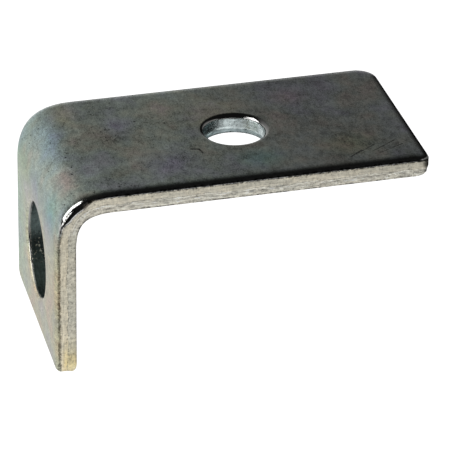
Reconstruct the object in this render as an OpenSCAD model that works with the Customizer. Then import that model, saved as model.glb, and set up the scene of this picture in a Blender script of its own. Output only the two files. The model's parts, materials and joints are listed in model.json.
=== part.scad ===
// Ceiling clip: one strip of steel, punched twice and folded once at a right angle.
// The upper leg lies against a ceiling and takes the fixing. The lower leg hangs down and
// carries the hanger. The punch and the shear leave every edge with the same three zones:
// a rolled-over shoulder on the outer face, a straight burnished land, and a torn zone
// that leans in towards the inner face.
// Origin: centre of the fixing hole, in the face that lies against the ceiling.
// +Z points at the ceiling, +X runs along the upper leg to its free end.

/* [Strip] */
// Width of the strip
strip_w = 25; // [20:0.5:40]
// Thickness of the steel
steel_t = 2.5; // [2.2:0.1:3.5]
// Radius of the four corners of the blank
corner_r = 1.8; // [1.5:0.1:5]

/* [Legs] */
// Length of the ceiling leg, measured from the outside of the heel
ceiling_leg = 45.5; // [38:0.5:90]
// Length of the hanger leg, measured from the ceiling face
hanger_leg = 24; // [23:0.5:60]
// Radius of the bend, on its inside
bend_r = 3.7; // [1:0.1:3.9]

/* [Ceiling hole] */
// Diameter of the hole for the ceiling fixing
ceiling_hole_d = 7.5; // [4:0.1:12]
// Distance of its centre from the outside of the heel
ceiling_hole_at = 24.6; // [15:0.1:28]

/* [Hanger hole] */
// Diameter of the hole for the hanger
hanger_hole_d = 11.7; // [5:0.1:12.3]
// Distance of its centre from the ceiling face
hanger_hole_at = 13.4; // [13.2:0.1:15]

/* [Sheared edges] */
// Width of the rolled shoulder along the outline
edge_roll_w = 1.35; // [0.8:0.05:1.4]
// Depth of the rolled shoulder along the outline
edge_roll_h = 0.55; // [0.4:0.05:0.7]
// Height of the torn zone along the outline
edge_torn_h = 1; // [0.5:0.05:1.3]
// Width of the rolled shoulder round the holes
hole_roll_w = 0.7; // [0.6:0.05:1]
// Depth of the rolled shoulder round the holes
hole_roll_h = 0.48; // [0.36:0.02:0.5]
// Height of the torn zone in the holes
hole_torn_h = 0.65; // [0.3:0.05:1]
// How far the torn zone leans back from the land
torn_lean = 0.15; // [0.05:0.01:0.3]
// Radius where the rolled shoulder turns down into the land
nose_r = 0.35; // [0.1:0.05:0.35]

/* [Hidden] */
$fn = 96;
half_w = strip_w / 2;
outer_r = bend_r + steel_t;
heel_x = -ceiling_hole_at;
rim_spare = 0.1;
roll_spare = 0.1;
bore_spare = 1;

// Radius of the wide arc that meets the face and the nose arc without a kink
function wide_r(roll_w, roll_h, nose) =
    (pow(roll_w - nose, 2) + pow(roll_h, 2) - pow(nose, 2)) / (2 * (roll_h - nose));

// What the roll-over takes off a square edge whose corner is at the origin, with the steel
// to its left and below: the nose arc's part, then the wide arc's part
module roll_waste(roll_w, roll_h) {
    nose = min(nose_r, 0.9 * roll_h);
    wide = wide_r(roll_w, roll_h, nose);
    lean = (roll_w - nose) / (wide - roll_h);
    split = [lean * (roll_h + roll_spare) - nose, roll_spare];
    difference() {
        polygon([[-nose, -roll_h], split, [roll_w, roll_spare], [roll_w, -roll_h]]);
        translate([-nose, -roll_h]) circle(nose);
    }
    difference() {
        polygon([[-nose, -roll_h], split, [-roll_w, roll_spare], [-roll_w, -roll_h]]);
        translate([-roll_w, -wide]) circle(wide);
    }
}

// Section of the sheet from x = 0 out to its edge at x = reach, outer face at y = 0
module edge_section(reach, roll_w, roll_h, torn_h) {
    difference() {
        polygon([[0, 0], [reach, 0], [reach, torn_h - steel_t],
                 [reach - torn_lean, -steel_t], [0, -steel_t]]);
        translate([reach, 0]) roll_waste(roll_w, roll_h);
    }
}

module outline_section(reach) {
    edge_section(reach, edge_roll_w, edge_roll_h, edge_torn_h);
}

// Section across the whole strip
module strip_section() {
    outline_section(half_w);
    mirror([1, 0]) outline_section(half_w);
}

// Ring of steel round a punched hole, from the bore out into the flat sheet
module hole_rim(d) {
    reach = hole_roll_w + 2 * rim_spare;
    rotate_extrude() translate([d / 2 + reach, 0]) mirror([1, 0])
        edge_section(reach, hole_roll_w, hole_roll_h, hole_torn_h);
}

// Flat leg along +X from the end of the bend, with a hole at hole_x
module leg(length, hole_x, hole_d) {
    straight = length - corner_r;
    end_y = half_w - corner_r;
    difference() {
        union() {
            rotate([90, 0, 90]) linear_extrude(straight) strip_section();
            translate([straight, end_y, 0]) rotate([90, 0, 0])
                linear_extrude(2 * end_y) outline_section(corner_r);
            translate([straight, end_y, 0])
                rotate_extrude(angle = 90) outline_section(corner_r);
            translate([straight, -end_y, 0]) rotate([0, 0, -90])
                rotate_extrude(angle = 90) outline_section(corner_r);
        }
        translate([hole_x, 0, -steel_t - bore_spare])
            cylinder(h = steel_t + 2 * bore_spare, r = hole_d / 2 + hole_roll_w + rim_spare);
    }
    translate([hole_x, 0, 0]) hole_rim(hole_d);
}

// Quarter turn between the legs, about an axis along Y
module bend() {
    rotate([90, 0, 0]) rotate([0, 0, 90]) rotate_extrude(angle = 90)
        translate([outer_r, 0]) rotate(-90) strip_section();
}

module clip() {
    color([0.55, 0.56, 0.52]) union() {
        translate([heel_x + outer_r, 0, 0])
            leg(ceiling_leg - outer_r, ceiling_hole_at - outer_r, ceiling_hole_d);
        translate([heel_x + outer_r, 0, -outer_r]) bend();
        translate([heel_x, 0, -outer_r]) rotate([180, 0, 0]) rotate([0, -90, 0])
            leg(hanger_leg - outer_r, hanger_hole_at - outer_r, hanger_hole_d);
    }
}

clip();
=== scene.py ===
import json
import math

import bpy
from mathutils import Matrix, Vector, noise
from mathutils.geometry import delaunay_2d_cdt


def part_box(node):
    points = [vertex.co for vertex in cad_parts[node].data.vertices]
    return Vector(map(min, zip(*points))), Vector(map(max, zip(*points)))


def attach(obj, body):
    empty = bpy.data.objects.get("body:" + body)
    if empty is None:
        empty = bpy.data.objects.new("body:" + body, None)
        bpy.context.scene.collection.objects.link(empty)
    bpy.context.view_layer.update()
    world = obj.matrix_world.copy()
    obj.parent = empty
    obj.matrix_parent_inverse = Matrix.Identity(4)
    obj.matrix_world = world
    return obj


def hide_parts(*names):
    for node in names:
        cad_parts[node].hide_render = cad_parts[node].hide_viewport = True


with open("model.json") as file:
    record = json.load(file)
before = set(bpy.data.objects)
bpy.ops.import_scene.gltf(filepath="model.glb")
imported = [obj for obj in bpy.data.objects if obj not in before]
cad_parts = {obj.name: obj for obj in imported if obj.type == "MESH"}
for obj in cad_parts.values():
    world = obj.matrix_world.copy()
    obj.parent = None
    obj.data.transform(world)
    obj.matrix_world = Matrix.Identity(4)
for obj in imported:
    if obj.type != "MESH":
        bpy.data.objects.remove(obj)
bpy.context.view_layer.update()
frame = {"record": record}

# The strip that the clip is made of, laid out flat: a length of stock strip steel, 25 x 2.5 mm.
# s runs along it from the middle of the bend towards the ceiling leg's free end, v across it, and
# depth down through it from the outer face, the one that meets the ceiling, all in millimetres.
MM = 0.001
lowest, highest = (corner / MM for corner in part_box("clip"))
mounts = {mount["name"]: mount for mount in frame["record"]["mounts"]}
ceiling_hole_r, hanger_hole_r = (mounts[name]["dims"]["r_mm"] for name in ("ceiling_hole", "hanger_hole"))
sheet = 2.5
corner_r = 1.8
half_width = highest.y
bend_reach = 5.6
bend_steps = 200
tightening = 0.48
sprung = math.radians(1.1)


def turned(s):
    """Which way the strip runs at this place once folded, and which way its outer face looks.
    The fold tightens towards its middle, and has sprung back by a degree."""
    share = max(0.0, min(1.0, 0.5 + s / (2 * bend_reach)))
    eased = share - tightening * math.sin(2 * math.pi * share) / (2 * math.pi)
    turn = sprung + (math.pi / 2 - sprung) * eased
    return Vector((math.sin(turn), 0, math.cos(turn))), Vector((-math.cos(turn), 0, math.sin(turn)))


# The outer face walked round the bend in small steps, from where the hanger leg's flat begins
bend_step = 2 * bend_reach / bend_steps
walk = [Vector((lowest.x, 0, 0))]
for number in range(bend_steps):
    walk.append(walk[-1] + turned(-bend_reach + (number + 0.5) * bend_step)[0] * bend_step)
bend_path = [place + Vector((0, 0, highest.z - walk[-1].z)) for place in walk]


def fold(s, v, depth):
    """Where a point of the flat strip is once the strip has been folded."""
    along, up = turned(s)
    within = max(-bend_reach, min(bend_reach, s))
    number = min(bend_steps - 1, int((within + bend_reach) / bend_step))
    rest = (within + bend_reach) / bend_step - number
    place = bend_path[number].lerp(bend_path[number + 1], rest)
    return (place + along * (s - within) - up * depth + Vector((0, v, 0))) * MM


def on_ceiling_leg(x):
    """How far along the flat strip this x of the ceiling leg is."""
    return bend_reach + x - bend_path[-1].x


def on_hanger_leg(z):
    """How far along the flat strip this height of the hanger leg is."""
    return -bend_reach + (z - bend_path[0].z) / math.cos(sprung)


ceiling_end = on_ceiling_leg(highest.x)
hanger_end = on_hanger_leg(lowest.z)
ceiling_hole = Vector((on_ceiling_leg(0), 0))
hanger_hole = Vector((on_hanger_leg(mounts["hanger_hole"]["pos_m"][2] / MM), 0))


def swell(value, low, high, ramp):
    """1 between low and high, falling smoothly to 0 over a ramp outside them."""
    rise = max(0.0, min(1.0, (value - low) / ramp + 1, (high - value) / ramp + 1))
    return rise * rise * (3 - 2 * rise)


# The cut edges: the shear and both punches leave the same three zones on every edge. The outer
# face rolls over into the cut, a burnished land follows, and the rest has torn away: it is rough,
# leans, and ends in a fine burr.
cut_step = 0.2

# Along the outline the near roll is drawn deeper round the bend, and so is the hanger end's
outline_cut = {
    "roll_w": 1.35, "roll_h": 0.5, "nose_r": 0.32, "torn_h": 1.1,
    "side_lean": -0.02, "free_end_lean": 0.35, "hanger_end_lean": -0.35, "end_burr": 0.5,
    "bend_draw": 0.52, "hanger_end_draw": 0.45, "near_tip_power": 4.5}

# In the holes the roll is shallower on the side towards the hanger leg's end
hole_cut = {
    "roll_w": 0.7, "roll_h": 0.48, "nose_r": 0.35, "torn_h": 0.65,
    "side_lean": 0.1, "free_end_lean": 0.1, "hanger_end_lean": 0.1, "end_burr": 0.0,
    "bend_draw": 0.0, "hanger_end_draw": -0.2, "near_tip_power": 2.0}

# At the free end the far corner is the roundest of the four, and the near one the squarest
far_tip_r = 2.6
corner_rs = [far_tip_r, corner_r, corner_r, corner_r]
corner_posts = 14
roll_rows, land_rows, torn_rows = 8, 4, 8


def ripple(along, depth, length, seed):
    """Waves of about this length along an edge and down it, from -1 to 1."""
    return noise.noise(Vector((along / length, depth / length, seed * 7.3)))


def cut_rows(along, spot, out, cut, seed):
    """The edge's section at one place: inset, depth, tilt of the surface, and how far it is cut."""
    # How much deeper the roll is drawn here, then its wide arc and the nose arc that follows
    drawn = cut["bend_draw"] * swell(spot.x, -1.0, 1.6, 1.5) if spot.y < 0 else 0.0
    drawn += cut["hanger_end_draw"] * out.x ** 2 if out.x < 0 else 0.0
    roll_w, roll_h, nose_r = cut["roll_w"] + 0.6 * drawn, cut["roll_h"] + drawn, cut["nose_r"] + 1.1 * drawn
    wide_r = ((roll_w - nose_r) ** 2 + roll_h ** 2 - nose_r ** 2) / (2 * (roll_h - nose_r))
    split = math.atan2(roll_w - nose_r, wide_r - roll_h)
    rows = [(cut["roll_w"] + 0.6 * cut["bend_draw"] + 0.1, 0.0, 0.0, 0.0), (roll_w, 0.0, 0.0, 0.0)]
    for step in range(1, roll_rows + 1):
        tilt = split * step / roll_rows
        rows.append((roll_w - wide_r * math.sin(tilt), wide_r * (1 - math.cos(tilt)), tilt, 0.0))
    for step in range(1, roll_rows + 1):
        tilt = split + (math.pi / 2 - split) * step / roll_rows
        rows.append((nose_r * (1 - math.sin(tilt)), roll_h - nose_r * math.cos(tilt), tilt, 0.0))

    # The land, between two rippled lines
    land_wave = 0.22 * ripple(along, 0, 0.7, seed + 5) + 0.2 * ripple(along, 0, 0.3, seed + 6)
    tear_wave = 0.2 * ripple(along, 0, 2.6, seed) + 0.14 * ripple(along, 0, 0.5, seed + 1)
    land = roll_h + max(0.02, 0.09 + land_wave)
    tear = sheet - cut["torn_h"] + tear_wave
    for step in range(land_rows + 1):
        depth = land + (tear - land) * step / land_rows
        rows.append((0.012 * ripple(along, depth * 4, 1.2, seed + 2), depth, math.pi / 2, 1.0))

    # The torn zone, which leans and rounds over into the burr, and a narrow rim of the inner face
    end_lean = cut["free_end_lean"] if out.x > 0 else cut["hanger_end_lean"]
    lean = cut["side_lean"] + (end_lean - cut["side_lean"]) * out.x ** 2
    burr = 0.06 + cut["end_burr"] * out.x ** 2
    for step in range(1, torn_rows + 1):
        down = step / torn_rows
        depth = tear + (sheet - tear) * down
        rough = 0.04 * ripple(along, depth, 0.5, seed + 3) + 0.03 * ripple(along, depth, 0.22, seed + 4)
        inset = 0.03 + lean * down + rough * (1 - down ** 4) + burr * down ** 5
        rows.append((inset, depth, math.pi / 2, 2.0))
    for rim in (0.15, 0.35):
        rows.append((max(0.1, lean) + burr + rim, sheet, math.pi, 0.0))

    # How much further out than a round one the near corner of the free end reaches
    power = cut["near_tip_power"] if out.x > 0 > out.y else 2.0
    fuller = corner_r * ((abs(out.x) ** power + abs(out.y) ** power) ** (-1 / power) - 1)
    return [(inset - fuller, depth, tilt, zone) for inset, depth, tilt, zone in rows]


def even_stops(start, end):
    """Stops from the start to just before the end, about one cut step apart."""
    count = max(2, round(abs(end - start) / cut_step))
    return [start + (end - start) * step / count for step in range(count)]


def side_stops(start, end):
    """Stops along a side, with both ends of the bend among them."""
    marks = sorted([start, -bend_reach, bend_reach, end], reverse=start > end)
    return [stop for first, last in zip(marks, marks[1:]) for stop in even_stops(first, last)]


def outline_posts():
    """Posts round the strip: an anchor inside it, the way out to the edge, and how far that is."""
    inward = [Vector((-1, -1)), Vector((1, -1)), Vector((1, 1)), Vector((-1, 1))]
    sharp = [Vector((hanger_end if way.x > 0 else ceiling_end, -half_width * way.y)) for way in inward]
    corners = [place + way * radius for place, way, radius in zip(sharp, inward, corner_rs)]
    posts = []
    for index, (corner, radius) in enumerate(zip(corners, corner_rs)):
        for turn in range(corner_posts):
            angle = math.radians(90 * (index + turn / corner_posts))
            posts.append((corner, Vector((math.cos(angle), math.sin(angle))), radius))
        after = corners[(index + 1) % 4]
        side = sharp[index] + inward[index] * corner_r
        if index % 2 == 0:
            spots = [Vector((stop, side.y)) for stop in side_stops(corner.x, after.x)]
        else:
            spots = [Vector((side.x, stop)) for stop in even_stops(corner.y, after.y)]
        out = Matrix.Rotation(math.radians(90 * (index + 1)), 2) @ Vector((1, 0))
        posts += [(spot, out, corner_r) for spot in spots]
    return posts


def hole_posts(centre, radius):
    """Posts round a hole. Their reach is negative, because the steel lies beyond it."""
    count = round(2 * math.pi * radius / cut_step)
    angles = [2 * math.pi * step / count for step in range(count)]
    return [(centre, Vector((math.cos(angle), -math.sin(angle))), -radius) for angle in angles]


# The clip itself: the strip's two faces are laid out flat between their cut edges, joined through
# the thickness by the edges' own sections, and the whole is folded a quarter turn.
class Strip:
    """The strip's points, each with its place on the flat sheet and in the cut, and its faces."""

    def __init__(self):
        self.points, self.flat, self.cut, self.faces, self.looks = [], [], [], [], []

    def add(self, place, out, depth, tilt, zone, along):
        """Adds a point. The cut's own surface looks where its facets do, the rest where it should."""
        self.points.append(fold(place.x, place.y, depth))
        self.flat.append((*place, depth))
        self.cut.append((tilt / (math.pi / 2), zone, along))
        run, up = turned(place.x)
        across = run * out.x + Vector((0, out.y, 0))
        self.looks.append(Vector() if zone else up * math.cos(tilt) + across * math.sin(tilt))
        return len(self.points) - 1

    def cut_edge(self, posts, cut, seed):
        """Sweeps an edge's section round its posts. Returns the rings at the outer and inner face."""
        rings, along, last_spot = [], 0.0, None
        for anchor, out, reach in posts:
            spot = anchor + out * abs(reach)
            along += (spot - last_spot).length if last_spot else 0.0
            last_spot = spot
            ring, side = [], 1 if reach > 0 else -1
            for inset, depth, tilt, zone in cut_rows(along, spot, out, cut, seed):
                place = anchor + out * (abs(reach) - side * inset)
                ring.append(self.add(place, out * side, depth, tilt, zone, along))
            rings.append(ring)
        for ring, after in zip(rings, rings[1:] + rings[:1]):
            for row in range(len(ring) - 1):
                self.faces.append((ring[row], ring[row + 1], after[row + 1], after[row]))
        return [ring[0] for ring in rings], [ring[-1] for ring in rings]

    def cover(self, outline, holes, flip):
        """Fills a face between its outline and its holes, with creases across the bend."""
        used = [index for ring in [outline] + holes for index in ring]
        slot_of = {index: slot for slot, index in enumerate(used)}
        seams = []
        for ring in [outline] + holes:
            seams += [(slot_of[first], slot_of[last]) for first, last in zip(ring, ring[1:] + ring[:1])]
        across = {}
        for index in outline:
            if abs(self.flat[index][0]) < bend_reach - 1.5 * cut_step:
                across.setdefault(round(self.flat[index][0], 3), []).append(slot_of[index])
        seams += [tuple(pair) for pair in across.values() if len(pair) == 2]
        spots = [Vector(self.flat[index][:2]) for index in used]
        in_hole = [{slot_of[index] for index in ring} for ring in holes]
        for triangle in delaunay_2d_cdt(spots, seams, [], 1, 1e-5)[2]:
            if any(hole.issuperset(triangle) for hole in in_hole):
                continue
            face = tuple(used[slot] for slot in triangle)
            self.faces.append(face[::-1] if flip else face)

    def finished(self, name):
        """The folded piece, which keeps each point's flat place and place in the cut for its finish."""
        mesh = bpy.data.meshes.new(name)
        mesh.from_pydata(self.points, [], self.faces)
        for label, values in (("flat", self.flat), ("cut", self.cut)):
            layer = mesh.attributes.new(label, "FLOAT_VECTOR", "POINT")
            layer.data.foreach_set("vector", [number for value in values for number in value])
        mesh.polygons.foreach_set("use_smooth", [True] * len(mesh.polygons))
        mesh.normals_split_custom_set_from_vertices(self.looks)
        piece = bpy.data.objects.new(name, mesh)
        bpy.context.scene.collection.objects.link(piece)
        return piece


strip = Strip()
edges = [
    strip.cut_edge(outline_posts(), outline_cut, 1),
    strip.cut_edge(hole_posts(ceiling_hole, ceiling_hole_r), hole_cut, 11),
    strip.cut_edge(hole_posts(hanger_hole, hanger_hole_r), hole_cut, 21),
]
outer_rings, inner_rings = zip(*edges)
strip.cover(outer_rings[0], list(outer_rings[1:]), False)
strip.cover(inner_rings[0], list(inner_rings[1:]), True)
clip = strip.finished("folded_strip")


# The finish: bright zinc under a thin passivate, in faint clouds of straw, pink, violet, blue and
# green. The ceiling leg's flat is darkened with painted shade and the bend has a painted sheen; the
# hanger leg and the cut edges are paler, the holes' walls are a dull teal, darkened with painted
# shade in the hanger hole, and the rolls are polished, save along the hanger leg's outline, with
# painted shade on the holes' rolls and along the foot of the outline's roll.
class Wire:
    """A socket that takes part in arithmetic, so that a finish reads as sums."""

    def __init__(self, tree, socket=None):
        self.tree, self.socket = tree, socket

    def node(self, kind, settings=None, sockets=None, out=0):
        made = self.tree.nodes.new(kind)
        for name, value in (settings or {}).items():
            if name == "stops":
                self.fill_ramp(made.color_ramp, value)
            else:
                setattr(made, name, value)
        for name, value in (sockets or {}).items():
            if isinstance(value, Wire):
                self.tree.links.new(value.socket, made.inputs[name])
            else:
                made.inputs[name].default_value = value
        return Wire(self.tree, made.outputs[out])

    def fill_ramp(self, ramp, stops):
        while len(ramp.elements) < len(stops):
            ramp.elements.new(1.0)
        for element, (place, colour) in zip(ramp.elements, stops):
            element.position, element.color = place, (*colour, 1)

    def maths(self, operation, *values):
        """Sums of numbers, or of colours and vectors where this wire carries one."""
        if self.socket and self.socket.type != "VALUE":
            return self.node("ShaderNodeVectorMath", {"operation": operation}, dict(enumerate(values)))
        return self.node("ShaderNodeMath", {"operation": operation}, dict(enumerate(values)))

    def __add__(self, other):
        return self.maths("ADD", self, other)

    def __sub__(self, other):
        return self.maths("SUBTRACT", self, other)

    def __rsub__(self, other):
        return self.maths("SUBTRACT", other, self)

    def __mul__(self, other):
        return self.maths("MULTIPLY", self, other)

    __radd__, __rmul__ = __add__, __mul__

    def step(self, low, high):
        """0 up to low, 1 from high on, smooth between them. Low may be the greater."""
        return self.node("ShaderNodeMapRange", {"interpolation_type": "SMOOTHSTEP"},
                         {"Value": self, "From Min": low, "From Max": high})

    def between(self, low, high, ramp):
        """1 between low and high, falling smoothly to 0 over a ramp outside them."""
        return self.step(low - ramp, low) * self.step(high + ramp, high)

    def blend(self, low, high):
        """Low where this wire is 0 and high where it is 1, and mixed between."""
        return self * high + (1 - self) * low

    def tint(self, colour_a, colour_b):
        """Mixes from one colour to the other, with this wire as the share of the second."""
        return self.node("ShaderNodeMix", {"data_type": "RGBA"},
                         {0: self, 6: opaque(colour_a), 7: opaque(colour_b)}, 2)

    def times(self, amount):
        """This colour, scaled by a number."""
        return self.node("ShaderNodeVectorMath", {"operation": "SCALE"}, {0: self, "Scale": amount})


def opaque(colour):
    return colour if isinstance(colour, Wire) else (*colour, 1)


def grain(place, size, detail, rough, stretch, seed):
    """Noise from about 0.25 to 0.75 over a place in millimetres, its features about that size."""
    return place.node("ShaderNodeTexNoise", {"noise_dimensions": "4D"},
                      {"Vector": place * stretch, "W": seed, "Scale": 1 / size,
                       "Detail": detail, "Roughness": rough})


def near_spot(flat, s, v, reach, stretch):
    """1 at a place on the flat sheet, falling to 0 at its reach, which is stretched along s."""
    squeezed = (flat - (s, v, 0)) * (1 / (reach * stretch), 1 / reach, 0)
    away = flat.node("ShaderNodeVectorMath", {"operation": "LENGTH"}, {0: squeezed}, 1)
    return away.step(1.0, 0.0)


def scratch(flat, start, end, width):
    """1 along a straight scratch on the flat sheet."""
    way = Vector((*end, 0)) - Vector((*start, 0))
    shifted = flat - (*start, 0)
    share = flat.node("ShaderNodeVectorMath", {"operation": "DOT_PRODUCT"},
                      {0: shifted, 1: way / way.length_squared}, 1)
    share = share.maths("MAXIMUM", share, 0.0)
    share = share.maths("MINIMUM", share, 1.0)
    nearest = flat.node("ShaderNodeVectorMath", {"operation": "SCALE"}, {0: way, "Scale": share})
    aside = flat.node("ShaderNodeVectorMath", {"operation": "DISTANCE"}, {0: shifted, 1: nearest}, 1)
    return aside.step(width, 0.2 * width)


def film_colour(flat, s, top_shade):
    """Clouds of interference colour over a slow fall from pale to dark, the dark being painted shade on the
    ceiling leg, and a painted sheen, brightest at the bend.
    """
    film = grain(flat, 5.5, 3.0, 0.55, (1, 0.9, 1), 3.0) * 2.2 - 0.6
    hues = film.node("ShaderNodeValToRGB", {"stops": [
        (0.05, (0.97, 0.96, 1.10)), (0.25, (0.93, 1.00, 1.07)), (0.42, (0.93, 1.04, 1.00)),
        (0.58, (0.98, 1.05, 0.95)), (0.75, (1.06, 1.02, 0.91)), (0.95, (1.10, 0.96, 0.96))]}, {0: film})
    pale = s.step(-8.0, -3.0).tint((0.57, 0.525, 0.435), (0.38, 0.41, 0.40))
    # Painted shade: the ceiling leg's flat grows darker still towards its free end
    shaded_top = s.step(12, 32).tint((0.30, 0.307, 0.287), (0.20, 0.195, 0.195))
    # Painted sheen: two bands across the bend are brightened
    bend_sheen = 0.45 * s.between(0.7, 1.6, 1.4) + 0.22 * s.between(3.2, 4.5, 1.4)
    colour = top_shade.tint(pale, shaded_top).times(1.0 + bend_sheen) * hues
    rust, olive, rose = (1.18, 1.03, 0.86), (1.03, 1.06, 0.86), (1.16, 0.95, 0.99)
    blue, teal, straw = (0.90, 0.99, 1.12), (0.78, 1.05, 1.02), (0.97, 0.92, 0.86)
    violet = (0.99, 0.92, 1.08)
    clouds = [
        (hanger_hole, 9.5, 1.0, rose), ((-13.0, 13.5), 12.0, 1.5, teal), ((-12.0, -12.5), 4.5, 3.0, straw),
        ((-4.3, 7.0), 7.0, 0.4, olive), ((1.0, 4.0), 8.0, 0.35, blue), ((1.2, -6.0), 4.0, 0.6, rose),
        ((-3.0, -8.0), 4.0, 0.8, teal), ((4.0, 9.0), 5.0, 0.5, rust), ((9.5, 3.5), 4.0, 0.7, violet),
        ((13.5, -6.5), 5.0, 1.3, violet), (ceiling_hole - Vector((1.8, -4.5)), 7.0, 0.8, rust),
        ((24.5, -8.0), 3.5, 1.2, teal), ((31.6, 6.8), 3.2, 1.1, rose), ((36.0, -7.0), 4.5, 1.2, olive)]
    for place, reach, stretch, hue in clouds:
        colour = colour * near_spot(flat, *place, reach, stretch).tint((1, 1, 1), hue)
    return colour


def pits_and_scratches(flat, s):
    """1 in the dark pits, which are thickest by the bend, and in a few scratches."""
    pits = grain(flat, 0.32, 1.5, 0.5, (1, 0.8, 1), 14.0).step(0.60, 0.68)
    pitted = grain(flat, 3.0, 2.0, 0.6, (1, 1, 1), 21.0).step(0.48, 0.6)
    marks = pits * pitted * (0.25 + 0.75 * s.between(-2, 13.5, 3.0))
    scratches = [
        ((17.0, -3.9), (17.9, -4.1), 0.22), ((17.9, -4.1), (18.1, -5.2), 0.2),
        ((37.8, -9.6), (41.2, -7.4), 0.12), ((35.6, -9.9), (38.6, -7.9), 0.1),
        ((38.5, -10.2), (41.8, -8.6), 0.1), ((35.0, -10.3), (36.6, -9.0), 0.14)]
    for first, last, width in scratches:
        marks = marks.maths("MAXIMUM", marks, scratch(flat, first, last, width))
    return marks


def hole_wall_colour(s, is_torn, on_hanger, chips):
    """A dull teal, strongest in the ceiling hole on the side nearer the bend, and darkest in the hanger
    hole, where the wall is darkened with painted shade and a few bright chips show."""
    # The hanger hole's wall is darkened with painted shade
    wall = on_hanger.tint(is_torn.tint((0.61, 0.69, 0.69), (0.36, 0.43, 0.44)), (0.13, 0.17, 0.165))
    teal_side = s.step(ceiling_hole.x - 0.8, ceiling_hole.x - 3.4) * (1 - on_hanger)
    wall = wall * teal_side.tint((1, 1, 1), (0.95, 1.12, 1.12))
    return chips.tint(wall, (0.88, 0.88, 0.76))


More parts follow.
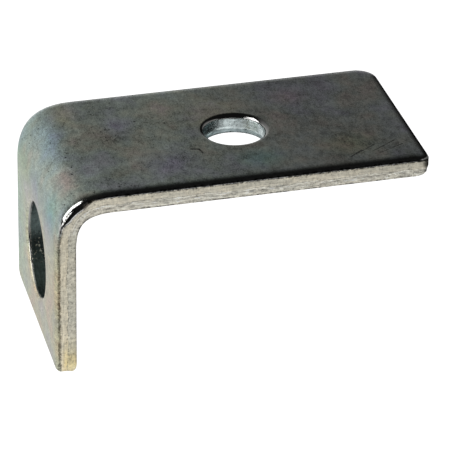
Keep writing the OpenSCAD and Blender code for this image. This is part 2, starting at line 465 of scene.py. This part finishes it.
def plated_steel():
    material = bpy.data.materials.new("plated_steel")
    material.use_nodes = True
    tree = material.node_tree
    shader = tree.nodes["Principled BSDF"]
    start = Wire(tree)
    flat = start.node("ShaderNodeAttribute", {"attribute_name": "flat"}, out=1)
    cut = start.node("ShaderNodeAttribute", {"attribute_name": "cut"}, out=1)
    s, v, depth = (start.node("ShaderNodeSeparateXYZ", None, {0: flat}, axis) for axis in range(3))
    tilt, zone, along = (start.node("ShaderNodeSeparateXYZ", None, {0: cut}, axis) for axis in range(3))
    run = start.node("ShaderNodeCombineXYZ", None, {0: along, 1: depth})

    # Where on the clip this is
    is_cut = zone.step(0.0, 0.6)
    is_torn = zone.step(1.1, 1.5)
    in_hole = 0.0
    for centre, radius in ((ceiling_hole, ceiling_hole_r), (hanger_hole, hanger_hole_r)):
        reach = radius + hole_cut["roll_w"] + 0.15
        in_hole += s.between(centre.x - reach, centre.x + reach, 0.1) * v.between(-reach, reach, 0.1)
    outside = tilt.step(1.6, 1.2) * (1 - is_cut)
    roll = tilt.step(0.0, 0.25) * outside
    on_hanger = s.step(-2.5, -4.5)
    # Painted shade over the ceiling leg's flat, from the middle of the bend on
    top_shade = s.step(-2.0, 6.5)

    # The faces: the film, finely mottled, with rolls that are polished, or scuffed beside the bend
    patch = grain(flat, 3.5, 3.0, 0.6, (1, 1.1, 1), 9.0)
    mottle = grain(flat, 1.0, 5.0, 0.85, (1.3, 0.75, 1), 5.0)
    speck = grain(flat, 0.17, 2.0, 0.6, (1.3, 0.75, 1), 6.0)
    marks = pits_and_scratches(flat, s)
    uneven = 2.7 * (mottle - 0.5) + 2.2 * (speck - 0.5) + 1.6 * (patch - 0.5) * (0.4 + 0.6 * top_shade)
    face = film_colour(flat, s, top_shade).times(1.0 + uneven * (0.72 + 0.28 * top_shade) - 0.75 * marks)
    polished = (tilt - 0.35 * on_hanger).step(0.1, 0.3) * outside * (1 - on_hanger * (1 - in_hole))
    # Painted shade: the holes' rolls are a darker grey, which dims what they mirror, and darker still below
    # the hanger hole, where the rim is also rougher
    dull_shaded_rim = in_hole * s.step(hanger_hole.x - 4.0, hanger_hole.x - 4.8)
    rim_shade = dull_shaded_rim.tint((0.36, 0.36, 0.35), (0.26, 0.27, 0.25))
    face = polished.tint(face, in_hole.tint((0.55, 0.55, 0.54), rim_shade))
    scuffed = s.between(2.0, 3.2, 0.8) * v.step(-11.6, -12.2) * tilt.step(0.4, 0.8) * outside
    face = scuffed.tint(face, (0.46, 0.41, 0.34))

    # The cut: a cream land with burnish marks, a layered torn zone, a dark line where it tore
    streaks = grain(run, 0.5, 3.0, 0.6, (1.6, 0.4, 1), 31.0)
    layers = grain(run, 0.25, 3.0, 0.6, (0.12, 1.2, 1), 41.0)
    fleck = grain(run, 0.35, 4.0, 0.75, (0.8, 1, 1), 33.0)
    cream = grain(run, 2.0, 3.0, 0.6, (0.8, 1, 1), 35.0).step(0.38, 0.62)
    land = cream.tint((0.66, 0.63, 0.53), (0.76, 0.71, 0.58))
    torn = cream.tint((0.82, 0.80, 0.70), (0.90, 0.86, 0.74))
    crumbs = grain(run, 0.3, 3.0, 0.75, (0.8, 1, 1), 37.0).step(0.42, 0.58)
    nicks = grain(run, 0.28, 2.0, 0.6, (1, 1, 1), 39.0).step(0.58, 0.68)
    tear_line = zone.between(1.25, 1.6, 0.3) * crumbs * (0.35 + 0.3 * in_hole + 0.2 * on_hanger)
    burr_line = depth.step(sheet - 0.3, sheet - 0.1) * (0.4 + 0.6 * crumbs) * (0.75 - 0.45 * on_hanger)
    cut_tone = 1.0 + 0.7 * (streaks - 0.5) + (layers - 0.5) * (1.2 + is_torn * (1.2 - 1.5 * on_hanger))
    cut_tone = cut_tone + (fleck - 0.5) * (1.2 + 0.2 * in_hole) - tear_line - burr_line - 0.35 * nicks
    cut_colour = is_torn.tint(land * on_hanger.tint((1, 1, 1), (1.06, 1.04, 0.99)),
                              torn * on_hanger.tint((1, 1, 1), (0.87, 0.87, 0.84)))
    chips = grain(run, 0.3, 2.0, 0.6, (1, 1, 1), 43.0).step(0.58, 0.64) * in_hole * is_cut
    chips = chips * s.between(hanger_hole.x - 3.6, hanger_hole.x - 1.2, 0.7)
    cut_colour = in_hole.tint(cut_colour, hole_wall_colour(s, is_torn, on_hanger, chips))
    colour = is_cut.tint(face, cut_colour.times(cut_tone))

    # Painted shade along the foot of the roll, where it meets the land, darkest on the ceiling leg and round
    # the bend, and a fainter speckled dark line in the hanger leg's surface; and straw yellow at the hanger
    # leg's end
    arris_dirt_and_shade = depth.between(0.3, 0.6, 0.12) * crumbs * (1 - in_hole)
    colour = arris_dirt_and_shade.tint(colour, colour * on_hanger.tint((0.15, 0.15, 0.14), (0.44, 0.42, 0.41)))
    straw_end = s.step(hanger_end + 6.0, hanger_end + 2.0) * depth.step(0.5, 1.3)
    straw_end = straw_end * is_cut * cream.blend(0.6, 1.0)
    colour = straw_end.tint(colour, colour * (1.20, 1.06, 0.70))
    tree.links.new(colour.socket, shader.inputs["Base Color"])

    # Smoothest on the polished rolls, roughest on the hanger leg's others and its hole's dull rim
    shader.inputs["Metallic"].default_value = 1.0
    shader.inputs["Specular Tint"].default_value = (0.75, 0.75, 0.75, 1)
    shoulder = 0.25 * on_hanger * (1 - in_hole) - 0.22 * (1 - on_hanger) - 0.1 * in_hole * on_hanger
    face_rough = 0.2 + 0.14 * patch + 0.06 * mottle + roll * (shoulder + 0.35 * dull_shaded_rim) + 0.35 * scuffed
    land_rough = 0.36 - 0.12 * in_hole * (1 - on_hanger) + 0.2 * chips
    rough = is_cut.blend(face_rough, is_torn.blend(land_rough, 0.42))
    tree.links.new(rough.socket, shader.inputs["Roughness"])

    face_relief = (mottle * 0.012 + speck * 0.003 - marks * 0.012) * (1 - 0.7 * polished)
    land_relief = streaks * 0.015 + fleck * (0.02 + 0.02 * in_hole)
    relief = is_cut.blend(face_relief, is_torn.blend(land_relief, fleck * 0.06))
    bump = start.node("ShaderNodeBump", None, {"Height": relief * MM, "Strength": 1.0, "Distance": 1.0})
    tree.links.new(bump.socket, shader.inputs["Normal"])
    return material


clip.data.materials.append(plated_steel())
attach(clip, "root")
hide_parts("clip")


# The stage: a plain white floor well below the clip, which is held up by its ceiling hole. What
# the clip mirrors of it fades to dark in front and on the right, and to half at the front left.
def stage_floor():
    drop, reach = lowest.z * MM - 0.06, 4.0
    corners = [(-reach, -reach, drop), (reach, -reach, drop), (reach, reach, drop), (-reach, reach, drop)]
    mesh = bpy.data.meshes.new("stage_floor")
    mesh.from_pydata(corners, [], [(0, 1, 2, 3)])
    floor = bpy.data.objects.new("stage_floor", mesh)
    bpy.context.scene.collection.objects.link(floor)
    material = bpy.data.materials.new("stage_white")
    material.use_nodes = True
    tree = material.node_tree
    tree.nodes.remove(tree.nodes["Principled BSDF"])
    start = Wire(tree)
    place = start.node("ShaderNodeNewGeometry")
    x, y = (start.node("ShaderNodeSeparateXYZ", None, {0: place}, axis) for axis in range(2))
    front_left = x.step(-0.03, -0.06) * y.step(-0.04, -0.07)
    lit = y.step(-0.32, -0.22) * (1 - 0.5 * front_left) * x.step(0.13, 0.06)
    mirrored = start.node("ShaderNodeLightPath", out="Is Glossy Ray")
    seen = start.node("ShaderNodeLightPath", out="Is Camera Ray")
    passing = start.node("ShaderNodeLightPath", out="Is Transmission Ray")
    matte = start.node("ShaderNodeBsdfDiffuse", None, {"Color": (0.8, 0.8, 0.8, 1)})
    glow = start.node("ShaderNodeEmission", None, {"Color": seen.maths("MAXIMUM", seen, passing) * 0.85})
    plain = start.node("ShaderNodeAddShader", None, {0: matte, 1: glow})
    mirror = start.node("ShaderNodeEmission", None, {"Color": 0.94 * lit + 0.01})
    both = start.node("ShaderNodeMixShader", None, {0: mirrored, 1: plain, 2: mirror})
    tree.links.new(both.socket, tree.nodes["Material Output"].inputs["Surface"])
    floor.data.materials.append(material)


# The light: a dome that is bright at the horizon behind the clip, dim on the right, and dark
# above and in front, a tall softbox on the left, and a low card at the front left that closes
# the bend's highlight.
def stage_dome():
    world = bpy.data.worlds.new("stage_dome")
    bpy.context.scene.world = world
    world.use_nodes = True
    tree = world.node_tree
    start = Wire(tree)
    towards = start.node("ShaderNodeTexCoord", out="Generated")
    x, y, z = (start.node("ShaderNodeSeparateXYZ", None, {0: towards}, axis) for axis in range(3))
    levels = [(0.0, 1.0), (0.08, 0.8), (0.22, 0.55), (0.48, 0.33), (0.62, 0.22), (0.74, 0.09), (0.82, 0.015)]
    stops = [(height, (level,) * 3) for height, level in levels]
    behind = z.node("ShaderNodeValToRGB", {"stops": stops}, {0: z})
    on_right = x.step(0.6, 0.8) * z.step(0.8, 0.5)
    level = y.step(0.35, 0.7) * x.step(0.5, 0.3) * behind + 0.35 * on_right + 0.012
    seen = start.node("ShaderNodeLightPath", out="Is Camera Ray")
    tree.links.new(seen.tint(level, (1, 1, 1)).socket, tree.nodes["Background"].inputs["Color"])


def soft_lamp(name, towards, distance, width, height, watts):
    lamp = bpy.data.lights.new(name, "AREA")
    lamp.shape, lamp.size, lamp.size_y, lamp.energy = "RECTANGLE", width, height, watts
    holder = bpy.data.objects.new(name, lamp)
    bpy.context.scene.collection.objects.link(holder)
    direction = Vector(towards).normalized()
    holder.location = direction * distance
    holder.rotation_euler = direction.to_track_quat("Z", "Y").to_euler()


stage_floor()
stage_dome()
soft_lamp("softbox_left", (-0.80, 0.10, 0.55), 0.6, 0.36, 0.58, 2.6)
soft_lamp("card_front_left", (-0.92, -0.36, 0.20), 0.6, 0.40, 0.30, 1.0)


# The camera: a long lens, a little to the left of the clip's near edge and above it.
def aim_camera():
    azimuth, elevation, roll = (math.radians(angle) for angle in (-14.13, 29.06, 0.07))
    aim, distance = Vector((-2.40, -5.15, -10.15)) * MM, 360.5 * MM
    level_right = Vector((math.cos(azimuth), math.sin(azimuth), 0))
    back = Vector((math.sin(azimuth) * math.cos(elevation), -math.cos(azimuth) * math.cos(elevation),
                   math.sin(elevation)))
    level_up = back.cross(level_right)
    right = level_right * math.cos(roll) + level_up * math.sin(roll)
    camera = bpy.data.objects.new("camera", bpy.data.cameras.new("camera"))
    bpy.context.scene.collection.objects.link(camera)
    camera.location = aim + back * distance
    camera.rotation_euler = Matrix((right, back.cross(right), back)).transposed().to_euler()
    camera.data.sensor_width, camera.data.lens = 36.0, 239.3
    camera.data.clip_start, camera.data.clip_end = 0.01, 50.0
    bpy.context.scene.camera = camera


aim_camera()
bpy.context.scene.view_settings.view_transform = "Standard"
